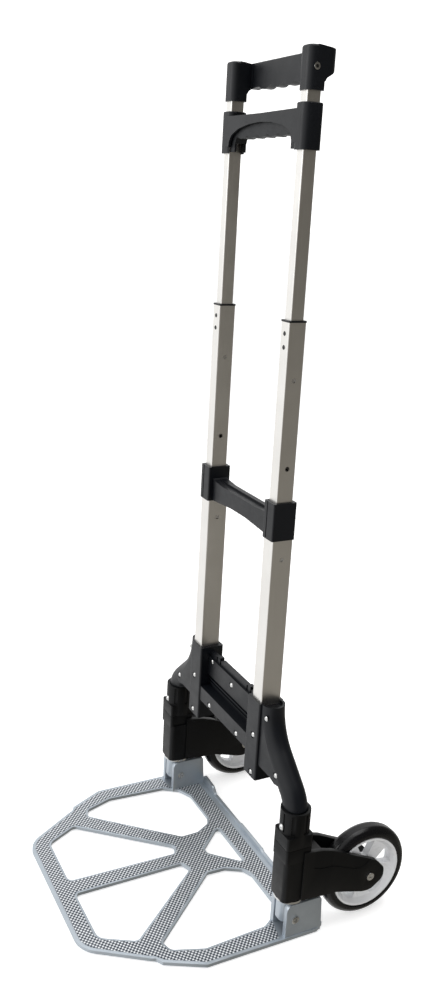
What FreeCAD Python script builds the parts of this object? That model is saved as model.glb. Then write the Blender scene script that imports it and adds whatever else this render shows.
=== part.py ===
import FreeCAD, Part
import Sketcher
import math, os, re
from FreeCAD import Vector, Placement, Rotation

# Folding hand truck. Millimetres, +Z up, -Y the load side (nose plate), +Y the wheel side,
# +X the right-hand side. z = 0 is the ground under the nose plate and the tyres.
# The sub-parts are drawn with y = 0 on the two vertical leg axes and are then placed
# leg_y further back, so that the origin is under the middle of the whole truck.

doc = FreeCAD.newDocument("hand_truck")
sheet = doc.addObject("Spreadsheet::Sheet", "Dims")
DIMS = [
    # alias, value, meaning
    ("leg_y", 42.8, "leg axes behind the origin"),
    ("leg_half", 179.3, "leg axis from the centre plane"),
    ("tube_half", 90.4, "telescopic tube axis from the centre plane"),
    ("tube_y", -1.6, "telescopic tube axis from the leg axis"),
    ("lower_w", 23.6, "lower tube width"), ("lower_d", 29.4, "lower tube depth"),
    ("middle_w", 18.8, "middle tube width"), ("middle_d", 23.6, "middle tube depth"),
    ("upper_w", 15.0, "upper tube width"), ("upper_d", 17.8, "upper tube depth"),
    ("wall_one", 1.3, "lower tube wall"), ("wall_two", 1.1, "middle tube wall"), ("wall_three", 1.1, "upper tube wall"),
    ("lower_z", 195.0, "lower tube foot"), ("lower_len", 371.0, "lower tube length"),
    ("middle_z", 482.0, "middle tube foot"), ("middle_len", 309.0, "middle tube length"),
    ("upper_z", 707.0, "upper tube foot"), ("upper_len", 367.0, "upper tube length"),
    ("lock_one", 496.1, "height of the lower lock hole"), ("lock_two", 722.4, "height of the upper lock hole"),
    ("spare_hole", 613.3, "second hole of the middle tube"),
    ("lock_dia", 6.0, "lock hole diameter"), ("lock_pin", 5.6, "lock pin diameter"),
    ("wheel_back", 113.4, "wheel axle behind the leg axis"), ("wheel_rad", 65.0, "tyre radius"),
    ("tyre_w", 26.8, "tyre width"), ("rim_rad", 51.0, "rim seat radius"), ("rim_w", 25.6, "rim width"),
    ("arm_in", 14.4, "fork arm inner face from the wheel plane"), ("arm_out", 21.6, "fork arm outer face"),
    ("arm_end", 22.0, "radius of the arm's round end"),
    ("axle_dia", 8.0, "axle bolt diameter"),
    ("pin_z", 31.0, "hinge pin height"), ("pin_dia", 6.0, "hinge pin diameter"),
    ("lug_in", 12.5, "lug inner face from the leg axis"), ("lug_out", 20.0, "lug outer face"),
    ("lug_top", 54.5, "top of the lugs"),
    ("plate_t", 7.0, "nose plate thickness with its web"), ("deck_z", 2.4, "underside of the plate's deck"),
    ("spindle_rad", 11.0, "leg spindle radius"), ("sleeve_bore", 13.0, "fork sleeve bore radius"),
    ("ring_rad", 20.0, "thrust ring radius"), ("leg_rad", 16.0, "leg radius"),
    ("collar_rad", 19.7, "detent collar radius"), ("collar_top", 188.0, "detent collar top"),
    ("gap", 0.3, "running gap between faces"),
    ("column_in", 71.8, "frame column inner face"), ("column_out", 104.4, "frame column outer face"),
    ("frame_top", 298.0, "top of the frame columns"), ("frame_foot", 185.0, "foot of the frame columns"),
    ("rivet_rad", 3.6, "rivet head radius"),
    ("squeeze", 4.5, "travel of the release grip"),
]
D = {}
for i, (alias, value, note) in enumerate(DIMS, start=1):
    sheet.set("A%d" % i, note)
    sheet.set("B%d" % i, str(value))
    sheet.setAlias("B%d" % i, alias)
    D[alias] = value
doc.recompute()

WORD = re.compile(r"\b([a-z]+(?:_[a-z]+)*)\b")


def ex(text):
    return WORD.sub(lambda m: "Dims." + m.group(1) if m.group(1) in D else m.group(1), text)


def val(v):
    if isinstance(v, str):
        total = v
        for name in sorted(D, key=len, reverse=True):
            total = re.sub(r"\b%s\b" % name, repr(float(D[name])), total)
        return float(sum_text(total))
    return float(v)


def sum_text(text):
    # small arithmetic reader: numbers joined by + - * /
    tokens = re.findall(r"\d+\.?\d*|[-+*/]", text)
    values, ops, sign, want = [], [], 1.0, True
    for t in tokens:
        if t in "+-*/":
            if want:
                if t == "-":
                    sign = -sign
                continue
            ops.append(t)
            want = True
        else:
            values.append(sign * float(t))
            sign, want = 1.0, False
    i = 0
    while i < len(ops):
        if ops[i] in "*/":
            values[i] = values[i] * values[i + 1] if ops[i] == "*" else values[i] / values[i + 1]
            del values[i + 1]
            del ops[i]
        else:
            i += 1
    total = values[0]
    for o, v in zip(ops, values[1:]):
        total = total + v if o == "+" else total - v
    return total


def bind(o, prop, v):
    if isinstance(v, str):
        o.setExpression(prop, ex(v))


COUNT = [0]


def new(kind, name):
    COUNT[0] += 1
    return doc.addObject(kind, "%s_%d" % (name, COUNT[0]))


def place(o, x, y, z, rot=None):
    o.Placement = Placement(Vector(val(x), val(y), val(z)), rot or Rotation())
    bind(o, "Placement.Base.x", x)
    bind(o, "Placement.Base.y", y)
    bind(o, "Placement.Base.z", z)


def box(x, y, z, lx, ly, lz, name="block"):
    o = new("Part::Box", name)
    o.Length, o.Width, o.Height = val(lx), val(ly), val(lz)
    bind(o, "Length", lx)
    bind(o, "Width", ly)
    bind(o, "Height", lz)
    place(o, x, y, z)
    return o


ROT = {"z": Rotation(), "x": Rotation(Vector(0, 1, 0), 90), "y": Rotation(Vector(1, 0, 0), -90)}


def cyl(x, y, z, r, length, axis="z", name="round"):
    o = new("Part::Cylinder", name)
    o.Radius, o.Height = val(r), val(length)
    bind(o, "Radius", r)
    bind(o, "Height", length)
    place(o, x, y, z, ROT[axis])
    return o


def cone(x, y, z, r_one, r_two, length, axis="z"):
    o = new("Part::Cone", "taper")
    o.Radius1, o.Radius2, o.Height = val(r_one), val(r_two), val(length)
    bind(o, "Radius1", r_one)
    bind(o, "Radius2", r_two)
    bind(o, "Height", length)
    place(o, x, y, z, ROT[axis])
    return o


def fuse(parts, name="joined"):
    if len(parts) == 1:
        return parts[0]
    o = new("Part::MultiFuse", name)
    o.Shapes = parts
    return o


def cut(base, tools, name="trimmed"):
    o = new("Part::Cut", name)
    o.Base = base
    o.Tool = fuse(tools, "cutters")
    return o


def common(a, b, name="shared"):
    o = new("Part::MultiCommon", name)
    o.Shapes = [a, b]
    return o


def group(parts, name="set"):
    o = new("Part::Compound", name)
    o.Links = parts
    return o


def segments(points):
    # closed outline; a third number in a point rounds that corner
    n = len(points)
    ends = []
    for i, p in enumerate(points):
        a = Vector(*points[i - 1][:2], 0)
        b = Vector(*p[:2], 0)
        c = Vector(*points[(i + 1) % n][:2], 0)
        r = p[2] if len(p) > 2 else 0
        if r <= 0:
            ends.append((b, None, b))
            continue
        u, v = (a - b).normalize(), (c - b).normalize()
        half = math.acos(max(-1, min(1, u.dot(v)))) / 2
        if half > math.pi / 2 - 0.01:
            ends.append((b, None, b))
            continue
        t = r / math.tan(half)
        t = min(t, 0.49 * (a - b).Length, 0.49 * (c - b).Length)
        r = t * math.tan(half)
        mid = (u + v).normalize()
        centre = b + mid * (r / math.sin(half))
        ends.append((b + u * t, centre - mid * r, b + v * t))
    out = []
    for i in range(n):
        s, m, e = ends[i]
        if m is not None:
            out.append(Part.Arc(s, m, e))
        nxt = ends[(i + 1) % n][0]
        if (nxt - e).Length > 1e-6:
            out.append(Part.LineSegment(e, nxt))
    return out


PLANES = {"xy": Rotation(), "xz": Rotation(Vector(1, 0, 0), 90), "yz": Rotation(Vector(1, 1, 1), 120)}
DIRS = {"xy": Vector(0, 0, 1), "xz": Vector(0, 1, 0), "yz": Vector(1, 0, 0)}


def sketch(loops, plane, at, name="outline"):
    s = new("Sketcher::SketchObject", name)
    for loop in loops:
        if isinstance(loop, tuple):
            s.addGeometry(Part.Circle(Vector(loop[0], loop[1], 0), Vector(0, 0, 1), loop[2]))
        else:
            s.addGeometry(segments(loop))
    base = {"xy": (0, 0, at), "xz": (0, at, 0), "yz": (at, 0, 0)}[plane]
    place(s, base[0], base[1], base[2], PLANES[plane])
    return s


def extrude(loops, plane, at, length, name="slab"):
    s = sketch(loops, plane, at)
    o = new("Part::Extrusion", name)
    o.Base = s
    o.DirMode = "Custom"
    o.Dir = DIRS[plane]
    o.LengthFwd = val(length)
    o.Solid = True
    bind(o, "LengthFwd", length)
    return o


def plane_of(body, role):
    return [f for f in body.Origin.OriginFeatures if f.Role == role][0]


def rect(s, w, d, wx, dx):
    # rectangle centred on the sketch origin, its sides bound to the sheet
    a, b = w / 2, d / 2
    c = [Vector(-a, -b, 0), Vector(a, -b, 0), Vector(a, b, 0), Vector(-a, b, 0)]
    for i in range(4):
        s.addGeometry(Part.LineSegment(c[i], c[(i + 1) % 4]))
    for i in range(4):
        s.addConstraint(Sketcher.Constraint("Coincident", i, 2, (i + 1) % 4, 1))
    s.addConstraint(Sketcher.Constraint("Horizontal", 0))
    s.addConstraint(Sketcher.Constraint("Horizontal", 2))
    s.addConstraint(Sketcher.Constraint("Vertical", 1))
    s.addConstraint(Sketcher.Constraint("Vertical", 3))
    s.addConstraint(Sketcher.Constraint("Symmetric", 0, 1, 1, 2, -1, 1))
    i = s.addConstraint(Sketcher.Constraint("DistanceX", 0, 1, 0, 2, w))
    s.setExpression("Constraints[%d]" % i, ex(wx))
    i = s.addConstraint(Sketcher.Constraint("DistanceY", 1, 1, 1, 2, d))
    s.setExpression("Constraints[%d]" % i, ex(dx))


def tube(name, w, d, wall, z, length, radius):
    # extruded rectangular tube with rounded edges
    b = new("PartDesign::Body", name)
    s = b.newObject("Sketcher::SketchObject", name + "_outside")
    s.AttachmentSupport = [(plane_of(b, "XY_Plane"), "")]
    s.MapMode = "FlatFace"
    rect(s, val(w), val(d), w, d)
    p = b.newObject("PartDesign::Pad", name + "_pad")
    p.Profile = s
    p.Length = val(length)
    p.setExpression("Length", ex(length))
    doc.recompute()
    names = []
    for i, e in enumerate(p.Shape.Edges, start=1):
        v = e.Vertexes
        if len(v) == 2 and abs(v[0].Z - v[1].Z) > 1:
            names.append("Edge%d" % i)
    f = b.newObject("PartDesign::Fillet", name + "_round")
    f.Base = (p, names)
    f.Radius = radius
    doc.recompute()
    t = b.newObject("Sketcher::SketchObject", name + "_inside")
    t.AttachmentSupport = [(plane_of(b, "XY_Plane"), "")]
    t.MapMode = "FlatFace"
    rect(t, val(w) - 2 * val(wall), val(d) - 2 * val(wall), w + "-2*" + wall, d + "-2*" + wall)
    q = b.newObject("PartDesign::Pocket", name + "_bore")
    q.Profile = t
    q.Type = 1
    q.Midplane = True
    doc.recompute()
    if not q.Shape.Volume < 0.5 * f.Shape.Volume:
        raise RuntimeError(name + ": the bore was not cut")
    place(b, "tube_half", "tube_y", z)
    return b


NODES = {}


def round_rim(o, z, r, name="rounded"):
    """Rounds the edges of o that lie at height z."""
    doc.recompute()
    ids = [i for i, e in enumerate(o.Shape.Edges, start=1) if abs(e.BoundBox.ZMin - z) < 1e-4 and abs(e.BoundBox.ZMax - z) < 1e-4]
    f = new("Part::Fillet", name)
    f.Base = o
    f.Edges = [(i, r, r) for i in ids]
    return f


def node(label, o, dy="leg_y"):
    o.Label = label
    p = o.Placement
    o.Placement = Placement(p.Base + Vector(0, D["leg_y"], 0), p.Rotation)
    o.setExpression("Placement.Base.y", ex("leg_y") if abs(p.Base.y) < 1e-9 else None)
    NODES[label] = o
    return o


def mirror(o):
    m = new("Part::Mirroring", "opposite")
    m.Source = o
    m.Base = Vector(0, 0, 0)
    m.Normal = Vector(1, 0, 0)
    return m


def hold(o):
    # wraps a primitive or body so that the node's own placement stays free
    return group([o], "held") if o.TypeId in ("Part::Box", "Part::Cylinder", "PartDesign::Body", "Part::Extrusion") else o


def pair(label, o):
    # one solid for each side, a node each
    m = mirror(o)
    node(label + "_right", group([o], "right"))
    node(label + "_left", group([m], "left"))


def both(label, parts):
    # the pieces of both sides in one node, as separate solids
    solids = []
    for o in parts:
        solids += [o, mirror(o)]
    node(label, group(solids, "both"))


def spring(x, y, z, radius, wire, pitch, height, axis="z"):
    h = new("Part::Helix", "coil")
    h.Pitch, h.Height, h.Radius = pitch, height, radius
    c = new("Part::Circle", "wire")
    c.Radius = wire
    c.Placement = Placement(Vector(radius, 0, 0), Rotation(Vector(1, 0, 0), 90))
    s = new("Part::Sweep", "spring")
    s.Sections = [c]
    s.Spine = (h, ["Edge%d" % (i + 1) for i in range(1)])
    s.Solid = True
    s.Frenet = True
    s.Placement = Placement(Vector(val(x), val(y), val(z)), ROT[axis])
    return s


LH, TH, TY = D["leg_half"], D["tube_half"], D["tube_y"]

# ---------------------------------------------------------------- telescopic tubes
lower = tube("lower_tube", "lower_w", "lower_d", "wall_one", "lower_z", "lower_len", 2.0)
lower = cut(lower, [cyl("tube_half-20", "tube_y", "lock_one", "lock_dia/2", 40, "x")])
pair("lower_tube", lower)
middle = tube("middle_tube", "middle_w", "middle_d", "wall_two", "middle_z", "middle_len", 1.8)
middle = cut(middle, [
    cyl("tube_half-20", "tube_y", "lock_two", "lock_dia/2", 40, "x"),
    cyl("tube_half-20", "tube_y", "spare_hole", "lock_dia/2", 40, "x"),
    cyl("tube_half-20", "tube_y", "lock_one", "lock_dia/2", 40, "x"),
    cyl("tube_half", "tube_y-20", 777.4, 1.6, 20, "y"), cyl("tube_half", "tube_y-20", 761.1, 1.6, 20, "y")])
pair("middle_tube", middle)
upper = tube("upper_tube", "upper_w", "upper_d", "wall_three", "upper_z", "upper_len", 1.6)
upper = cut(upper, [
    cyl("tube_half-20", "tube_y", "lock_two", "lock_dia/2", 40, "x"),
    cyl("tube_half", "tube_y-1.6", 1069.0, 1.6, 20, "x"),
    box("tube_half-10", "tube_y-2", 995, 10, 4, 24)])
pair("upper_tube", upper)


def ring_rect(w_out, d_out, w_in, d_in, z, h, r_out=1.5, r_in=0.6):
    o = [(TH - w_out / 2, TY - d_out / 2, r_out), (TH + w_out / 2, TY - d_out / 2, r_out),
         (TH + w_out / 2, TY + d_out / 2, r_out), (TH - w_out / 2, TY + d_out / 2, r_out)]
    i = [(TH - w_in / 2, TY - d_in / 2, r_in), (TH + w_in / 2, TY - d_in / 2, r_in),
         (TH + w_in / 2, TY + d_in / 2, r_in), (TH - w_in / 2, TY + d_in / 2, r_in)]
    return extrude([o, i], "xy", z, h)


# slide liners pressed into the tube tops: 0.2 mm running clearance to the tube inside
w, d = D["lower_w"] - 2 * D["wall_one"], D["lower_d"] - 2 * D["wall_one"]
both("lower_tube_liners", [ring_rect(w, d, D["middle_w"] + 0.4, D["middle_d"] + 0.4, 532.0, 34.0, 0.4)])
w, d = D["middle_w"] - 2 * D["wall_two"], D["middle_d"] - 2 * D["wall_two"]
cap = fuse([ring_rect(D["middle_w"] + 0.9, D["middle_d"] + 0.9, D["upper_w"] + 0.4, D["upper_d"] + 0.4, 791.0, 2.2),
            ring_rect(w, d, D["upper_w"] + 0.4, D["upper_d"] + 0.4, 752.0, 39.0, 0.4)])
both("middle_tube_collars", [cut(cap, [cyl("tube_half", "tube_y-20", 777.4, 1.2, 20, "y"),
                                       cyl("tube_half", "tube_y-20", 761.1, 1.2, 20, "y")])])
screws = []
for z in (777.4, 761.1):
    y0 = TY - D["middle_d"] / 2
    screws.append(fuse([cone(TH, y0 - 0.7, z, 2.0, 2.9, 0.7, "y"), cyl(TH, y0, z, 1.2, 2.2, "y")]))
both("collar_screws", screws)


def lock_set(z, w, d, wall_w, wall_d):
    # moulded plug in the tube's foot, cross bore with a spring and a lock pin in it
    w2, d2 = w - 2 * wall_w, d - 2 * wall_d
    plug = extrude([[(TH - w2 / 2, TY - d2 / 2), (TH + w2 / 2, TY - d2 / 2), (TH + w2 / 2, TY + d2 / 2), (TH - w2 / 2, TY + d2 / 2)]],
                   "xy", z - 14.0, 26.0)
    plug = cut(plug, [cyl(TH - w2 / 2 + 1.6, TY, z, 2.9, 30, "x")])
    return plug, w2


def twins(label, parts):
    # the same piece in both tubes, facing the same way, one node
    solids = []
    for o in parts:
        t = group([o], "twin")
        t.Placement = Placement(Vector(-2 * TH, 0, 0), Rotation())
        t.setExpression("Placement.Base.x", "-2*Dims.tube_half")
        solids += [o, t]
    node(label, group(solids, "twins"))


def lock_pin(x0, tip, floor, z):
    # cup-shaped pin: the spring stands in its bore
    return cut(cyl(x0, "tube_y", z, "lock_pin/2", tip - x0, "x"), [cyl(x0 - 1, "tube_y", z, 2.1, floor - x0 + 1, "x")])


plug, w2 = lock_set(D["lock_one"], D["middle_w"], D["middle_d"], D["wall_two"], D["wall_two"])
twins("middle_lock_plugs", [plug])
twins("middle_lock_pins", [lock_pin(TH - 3.0, TH + D["lower_w"] / 2 - D["wall_one"] - 0.2, TH + 7.2, "lock_one")])
twins("middle_lock_springs", [spring(TH - w2 / 2 + 1.9, "tube_y", "lock_one", 1.7, 0.25, 1.8, 9.0, "x")])
plug, w3 = lock_set(D["lock_two"], D["upper_w"], D["upper_d"], D["wall_three"], D["wall_three"])
twins("upper_lock_plugs", [cut(plug, [cyl(TH + q, TY - 5.3, D["lock_two"] + 3.5, 1.25, 30) for q in (-3.4, 3.4)])])
twins("upper_lock_pins", [lock_pin(TH - 2.4, TH + D["middle_w"] / 2 - D["wall_two"] - 0.2, TH + 5.9, "lock_two")])
twins("upper_lock_springs", [spring(TH - w3 / 2 + 1.9, "tube_y", "lock_two", 1.7, 0.25, 1.5, 7.5, "x")])

# ---------------------------------------------------------------- cross brace on the lower tubes
sleeve = [(TH - 12.6, TY - 16.4, 2.0), (TH + 12.6, TY - 16.4, 2.0), (TH + 12.6, TY + 16.4, 2.0), (TH - 12.6, TY + 16.4, 2.0)]
sleeve_b = [(-p[0], p[1], p[2]) for p in reversed(sleeve)]
s_one = extrude([sleeve], "xy", 521.5, 48.5)
s_two = extrude([sleeve_b], "xy", 521.5, 48.5)
bar = extrude([[(-TH, 521.5), (-58, 524, 60), (-20, 527, 80), (20, 527, 80), (58, 524, 60), (TH, 521.5), (TH, 560),
                (74, 552, 12), (50, 549.5, 60), (-50, 549.5, 60), (-74, 552, 12), (-TH, 560)]], "xz", -11.5, 22.0)
ridge = box(-TH, -1.5, 540, 2 * TH, 3.0, 12.5)
brace = fuse([s_one, s_two, bar, ridge])
hollow = []
for s in (1, -1):
    x0 = s * TH
    hollow.append(box(x0 - D["lower_w"] / 2, TY - D["lower_d"] / 2, 500, D["lower_w"], D["lower_d"], 66.0))
    hollow.append(box(x0 - D["middle_w"] / 2 - 0.3, TY - D["middle_d"] / 2 - 0.3, 500, D["middle_w"] + 0.6, D["middle_d"] + 0.6, 90))
hollow.append(box(-74, -9.0, 500, 148, 7.0, 44.0))
hollow.append(box(-74, 2.0, 500, 148, 6.5, 44.0))
for s in (1, -1):
    hollow.append(box(s * TH - 5.0, TY - 17.4, 505, 2.2, 1.6, 70))
node("cross_brace", cut(brace, hollow))

# ---------------------------------------------------------------- frame shells with the bent legs
ci, co, ft, ff = D["column_in"], D["column_out"], D["frame_top"], D["frame_foot"]


def leg_path():
    a = math.radians(48)
    r1, r2, run = 85.0, 40.0, 43.7
    x, z = 105.5, 298.0
    c1 = Vector(x + r1, 0, z)
    p0 = Vector(x, 0, z)
    p1 = Vector(c1.x - r1 * math.cos(a), 0, z - r1 * math.sin(a))
    m1 = Vector(c1.x - r1 * math.cos(a / 2), 0, z - r1 * math.sin(a / 2))
    p2 = p1 + Vector(run * math.sin(a), 0, -run * math.cos(a))
    c2 = Vector(p2.x - r2 * math.cos(a), 0, p2.z - r2 * math.sin(a))
    m2 = Vector(c2.x + r2 * math.cos(a / 2), 0, c2.z + r2 * math.sin(a / 2))
    p3 = Vector(c2.x + r2, 0, c2.z)
    p4 = Vector(p3.x, 0, 172.0)
    return p0, m1, p1, p2, m2, p3, p4


P0, M1, P1, P2, M2, P3, P4 = leg_path()


def leg_pipe(radius, name):
    # round bent leg: section swept along line and arcs in the XZ plane
    w = Part.Wire([Part.Arc(P0, M1, P1).toShape(), Part.LineSegment(P1, P2).toShape(),
                   Part.Arc(P2, M2, P3).toShape(), Part.LineSegment(P3, P4).toShape()])
    spine = new("Part::Feature", name + "_spine")
    spine.Shape = w
    c = new("Part::Circle", name + "_section")
    c.Radius = val(radius)
    bind(c, "Radius", radius)
    c.Placement = Placement(P0, Rotation())
    s = new("Part::Sweep", name)
    s.Sections = [c]
    s.Spine = (spine, ["Edge1", "Edge2", "Edge3", "Edge4"])
    s.Solid = True
    s.Frenet = False
    return s


column = extrude([[(ci, -19.3, 2.5), (co, -19.3, 2.5), (co, 17.0, 2.5), (ci, 17.0, 2.5)]], "xy", ff, ft - ff)
pipe = leg_pipe("leg_rad", "leg_outside")
bore = leg_pipe("leg_rad-3", "leg_inside")
web = extrude([[(co - 4, 297), (P0.x, 297), (P0.x + 3, 272, 60), (P1.x, P1.z, 60), (P2.x - 3, P2.z + 4, 10), (148, 206, 6), (136, 209, 10), (co - 4, 209)]],
              "xz", -16.0, 32.0)
half = fuse([column, web, pipe])
other = mirror(half)
lower_band = extrude([[(-ci - 2, 216), (ci + 2, 216), (ci + 2, 238), (-ci - 2, 238)]], "xz", -17.5, 31.5)
upper_band = extrude([[(-ci - 2, 256), (ci + 2, 256), (ci + 2, 284), (-ci - 2, 284)]], "xz", -6.0, 13.0)
top_ridge = extrude([[(-ci - 2, 280), (ci + 2, 280), (ci + 2, 291), (53, 291), (53, 283), (49.5, 283), (49.5, 293.5), (42, 293.5), (42, 283), (38.5, 283),
                      (38.5, 291), (-38.5, 291), (-38.5, 283), (-42, 283), (-42, 293.5), (-49.5, 293.5), (-49.5, 283), (-53, 283), (-53, 291), (-ci - 2, 291)]],
                    "xz", -3.0, 7.0)
panel = extrude([[(-ci - 2, 234), (ci + 2, 234), (ci + 2, 260), (-ci - 2, 260)]], "xz", -1.5, 4.0)
ribs = [box(-ci, -4.0, z, 2 * ci, 3.0, 1.6) for z in (243.0, 248.5)]
whole = fuse([half, other, lower_band, upper_band, top_ridge, panel] + ribs, "frame_whole")
insides = [box("tube_half-lower_w/2", "tube_y-lower_d/2", "lower_z", "lower_w", "lower_d", 200), bore]
insides += [mirror(o) for o in insides]
insides.append(box(-ci + 3, -14.0, 219, 2 * ci - 6, 10.5, 16.0))
insides.append(box(-ci + 3, 1.5, 219, 2 * ci - 6, 9.0, 16.0))
pockets = []
RIVETS = [(91.0, 247.0, -19.3), (91.0, 191.0, -19.3), (115.8, 283.0, -16.0), (149.0, 218.5, -16.0), (41.8, 221.0, -17.5),
          (62.0, 279.0, -6.0)]
for x, z, y in RIVETS:
    for s in (1, -1):
        pockets.append(cyl(s * x, y - 1, z, "rivet_rad+1.1", 1.9, "y"))
pockets.append(cyl(0, -7, 272.0, "rivet_rad+1.1", 1.6, "y"))
for s in (1, -1):
    pockets.append(cyl(s * LH, 0, 138, "collar_rad", D["collar_top"] - 138.0))
whole = cut(whole, insides + pockets, "frame_hollow")
lids = [cyl(s * P0.x, 0, 288, 14.0, 5.5) for s in (1, -1)]
whole = cut(fuse([whole] + lids, "frame_lidded"), [box("tube_half-lower_w/2", "tube_y-lower_d/2", "lower_z", "lower_w", "lower_d", 200),
                                                   mirror(box("tube_half-lower_w/2", "tube_y-lower_d/2", "lower_z", "lower_w", "lower_d", 200))], "frame_final")
front_half = box(-260, -60, 150, 520, 60, 200)
rear_half = box(-260, 0, 150, 520, 60, 200)
node("frame_front_shell", common(whole, front_half))
node("frame_rear_shell", common(whole, rear_half))


def rivet(x, y, z, r, depth):
    h = cone(x, y - 0.5, z, r - 1.2, r, 1.1, "y")
    return fuse([h, cyl(x, y + 0.6, z, r - 1.4, depth, "y")])


rivs = [rivet(x, y + 0.3, z, D["rivet_rad"], 1.2) for x, z, y in RIVETS]
solids = []
for o in rivs:
    solids += [o, mirror(o)]
solids.append(rivet(0, -6.0, 272.0, D["rivet_rad"], 1.2))
node("frame_rivets", group(solids, "rivets"))

# ---------------------------------------------------------------- leg spindle, foot, ring, collar
sp = cut(cyl("leg_half", 0, 40, "spindle_rad", 130), [cyl("leg_half", 0, 39, "spindle_rad-2.2", 140)])
pair("leg_spindle", sp)
foot = extrude([[(LH - 11.8, -15, 9), (LH + 11.8, -15, 9), (LH + 11.8, 14, 4), (LH - 11.8, 14, 4)]], "xy", 24.0, 31.7)
foot = cut(foot, [cyl("leg_half", 0, 40, "spindle_rad", 40), cyl("leg_half-20", 0, "pin_z", "pin_dia/2+0.06", 40, "x")])
pair("foot_block", foot)
ring = cut(cyl("leg_half", 0, 55.9, "ring_rad", 3.1), [cyl("leg_half", 0, 50, "spindle_rad", 20)])
both("thrust_rings", [ring])

skirt = extrude([[(LH - 17, -20, 4), (LH + 19.5, -20, 4), (LH + 19.5, 18, 4), (LH - 17, 18, 4)]], "xy", "138+gap", 18.0)
collar = fuse([skirt, cyl("leg_half", 0, "138+gap", "collar_rad", "collar_top-138-gap")])
grooves = []
for ang, width in ((-76, 3.0), (-36, 5.4), (14, 5.4), (60, 5.4), (110, 5.4), (170, 5.4), (220, 5.4)):
    g = box(0, 0, 0, 6, width, 27.0)
    a = math.radians(ang)
    r = D["collar_rad"] - 1.3
    g.Placement = Placement(Vector(LH + r * math.cos(a) + width / 2 * math.sin(a), r * math.sin(a) - width / 2 * math.cos(a), 158.5),
                            Rotation(Vector(0, 0, 1), ang))
    grooves.append(g)
collar = cut(collar, grooves + [cyl("leg_half", 0, 130, "spindle_rad", 70), cyl("leg_half", 0, 144, "leg_rad-1", 60),
                                cyl("leg_half", 0, 172, "leg_rad", 30), cyl("leg_half", -25, 163.5, 1.6, 12, "y")])
pair("detent_collar", collar)
rv = fuse([cone(LH, -21.4, 163.5, 2.6, 4.2, 1.7, "y"), cyl(LH, -19.7, 163.5, 1.6, 4.2, "y")])
both("collar_rivets", [rv])
both("detent_springs", [spring(LH, 0, 145.6, 12.9, 0.8, 5.2, 23.0)])

# ---------------------------------------------------------------- wheel forks
WB, WR = D["wheel_back"], D["wheel_rad"]
e = D["arm_end"]


def arm(x, length):
    # tapered arm with a round end about the axle
    return extrude([[(6, 60), (40, 57.5, 20), (60, 56.5, 30), (WB - 12, WR - 20.5, 12), (WB + 2, WR - e, e * 0.9), (WB + e, WR - 8, e * 0.6),
                     (WB + e, WR + 8, e * 0.6), (WB + 9, WR + e, e * 0.7), (73, 111.0, 40), (52, 121.5, 30), (34, 127.0, 30), (6, 131.5)]], "yz", x, length)


fork_parts = [arm("leg_half+arm_in", "arm_out-arm_in"), arm("leg_half-arm_out", "arm_out-arm_in"),
              extrude([[(LH - 19, -19.5, 8), (LH + 19, -19.5, 8), (LH + 19, 19, 4), (LH - 19, 19, 4)]], "xy", "56+3+gap", "121-59-gap"),
              extrude([[(LH - 17, -20, 4), (LH + 19.5, -20, 4), (LH + 19.5, 18, 4), (LH - 17, 18, 4)]], "xy", 118, 20.0 - D["gap"]),
              box("leg_half-arm_out", 8, 62, "2*arm_out", 32, 58)]
fork = fuse(fork_parts)
seam = extrude([[(21.5, 104), (34, 100, 20), (52, 99, 20), (88, 84, 6), (99, 83, 6), (108, 87.5, 8), (118, 100), (75, 135), (21.5, 135)]],
               "yz", "leg_half+arm_out-0.8", 4)
fork = cut(fork, [cyl("leg_half", 0, 50, "sleeve_bore", 100), cyl("leg_half-30", "wheel_back", "wheel_rad", "axle_dia/2", 60, "x"), seam,
                  box("leg_half-arm_in+1.5", 24, 67, "2*arm_in-3", 20, 48)])
pair("wheel_fork", fork)
fb = cut(cyl("leg_half", 0, "59+gap", "sleeve_bore", "138-59-2*gap"), [cyl("leg_half", 0, 50, "spindle_rad+0.06", 100)])
pair("fork_bushing", fb)
bolt = cut(fuse([cyl("leg_half-arm_out-4", "wheel_back", "wheel_rad", "axle_dia/2", "2*arm_out+4", "x"),
                 cyl("leg_half+arm_out", "wheel_back", "wheel_rad", 5.6, 1.6, "x")]),
           [box("leg_half+arm_out+0.6", WB - 2.0, WR - 2.0, 4, 4.0, 4.0)])
pair("axle_bolt", bolt)
hexa = [[(WB + 6.5 * math.cos(math.radians(60 * k)), WR + 6.5 * math.sin(math.radians(60 * k))) for k in range(6)]]
nut = cut(extrude(hexa, "yz", "leg_half-arm_out-4", 4), [cyl("leg_half-40", "wheel_back", "wheel_rad", "axle_dia/2", 60, "x")])
pair("axle_nut", nut)

# ---------------------------------------------------------------- wheels


def revolve(name, points, cx):
    # turned piece about the wheel axle; points are (along the axle, radius)
    b = new("PartDesign::Body", name)
    s = b.newObject("Sketcher::SketchObject", name + "_profile")
    s.AttachmentSupport = [(plane_of(b, "XZ_Plane"), "")]
    s.MapMode = "FlatFace"
    s.addGeometry(segments(points))
    r = b.newObject("PartDesign::Revolution", name + "_turned")
    r.Profile = s
    r.ReferenceAxis = (plane_of_axis(b, "X_Axis"), [""])
    r.Angle = 360.0
    doc.recompute()
    return b


def plane_of_axis(body, role):
    return [f for f in body.Origin.OriginFeatures if f.Role == role][0]


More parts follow.
